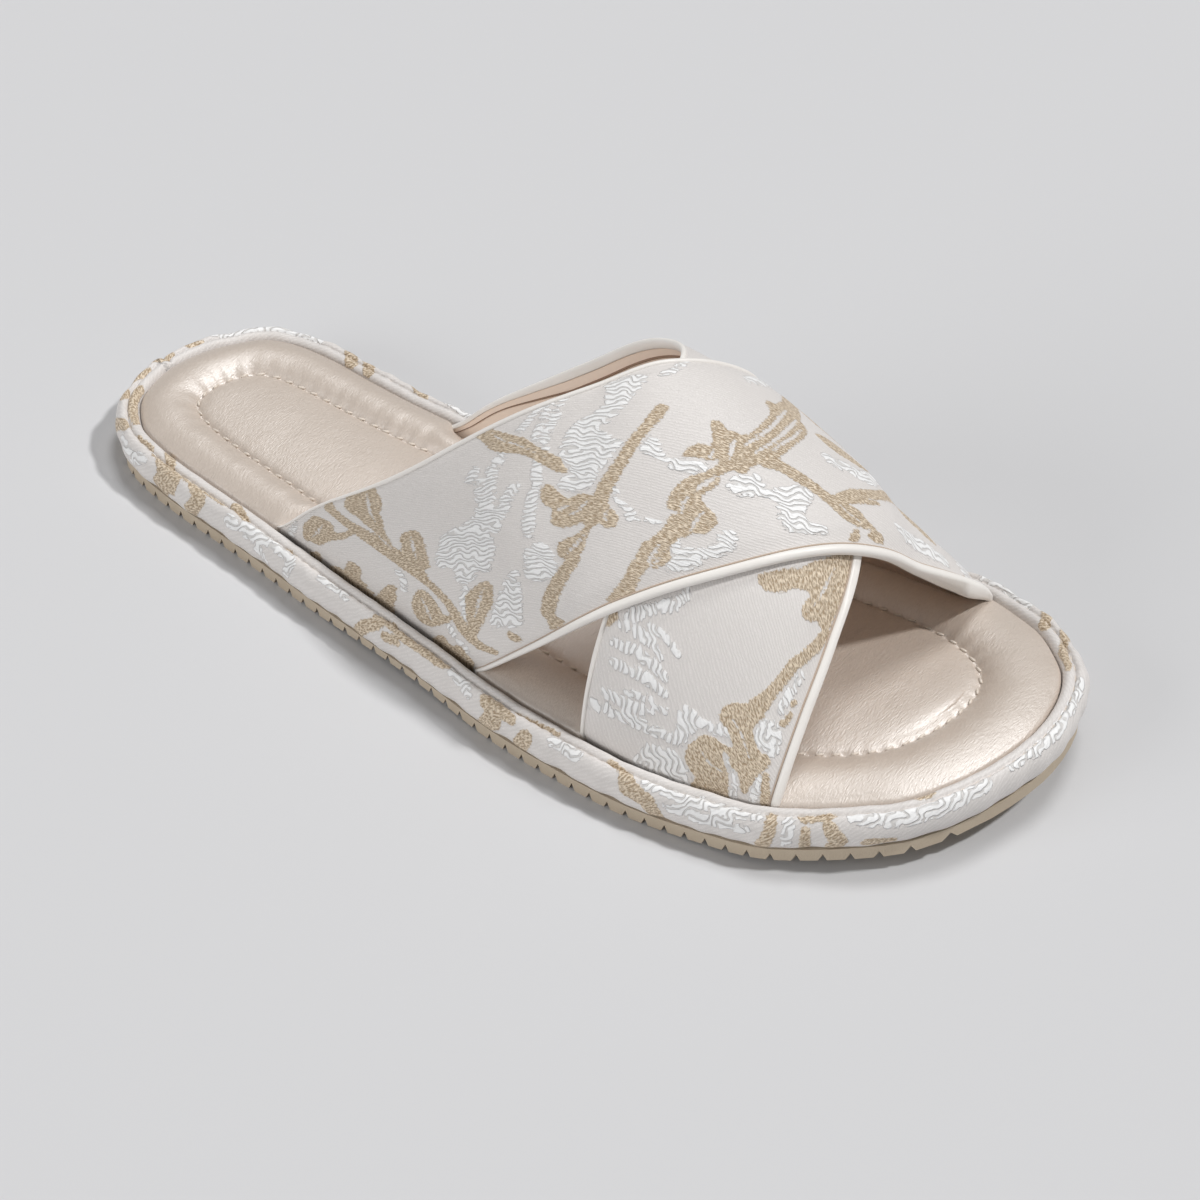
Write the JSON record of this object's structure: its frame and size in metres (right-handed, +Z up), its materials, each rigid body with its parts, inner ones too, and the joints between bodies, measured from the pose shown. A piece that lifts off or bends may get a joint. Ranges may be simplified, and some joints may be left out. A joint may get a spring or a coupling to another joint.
{
  "type": "cross-strap fabric slipper",
  "caption": "Open-toe, open-back house slipper: crossed brocade straps with cream bindings, padded satin insole, wrapped foam edge and thin cross-grooved rubber sole.",
  "frame": {"origin": "on the floor under the middle of the sole's box", "axes": "+Y from heel to toe, +X to the outer (lateral) side of the foot, +Z up from the floor"},
  "size_m": [0.1062, 0.2606, 0.0817],
  "materials": {
    "khaki_rubber": "matte",
    "champagne_satin": "satin",
    "brocade": "woven, slight sheen",
    "cream_binding": "satin"
  },
  "bodies": {
    "root": {"outsole": "khaki_rubber", "midsole": "brocade", "insole": "champagne_satin", "upper": "brocade", "top_rear_binding": "cream_binding", "top_front_binding": "cream_binding", "under_rear_binding": "cream_binding", "under_front_binding": "cream_binding"}
  },
  "joints": []
}
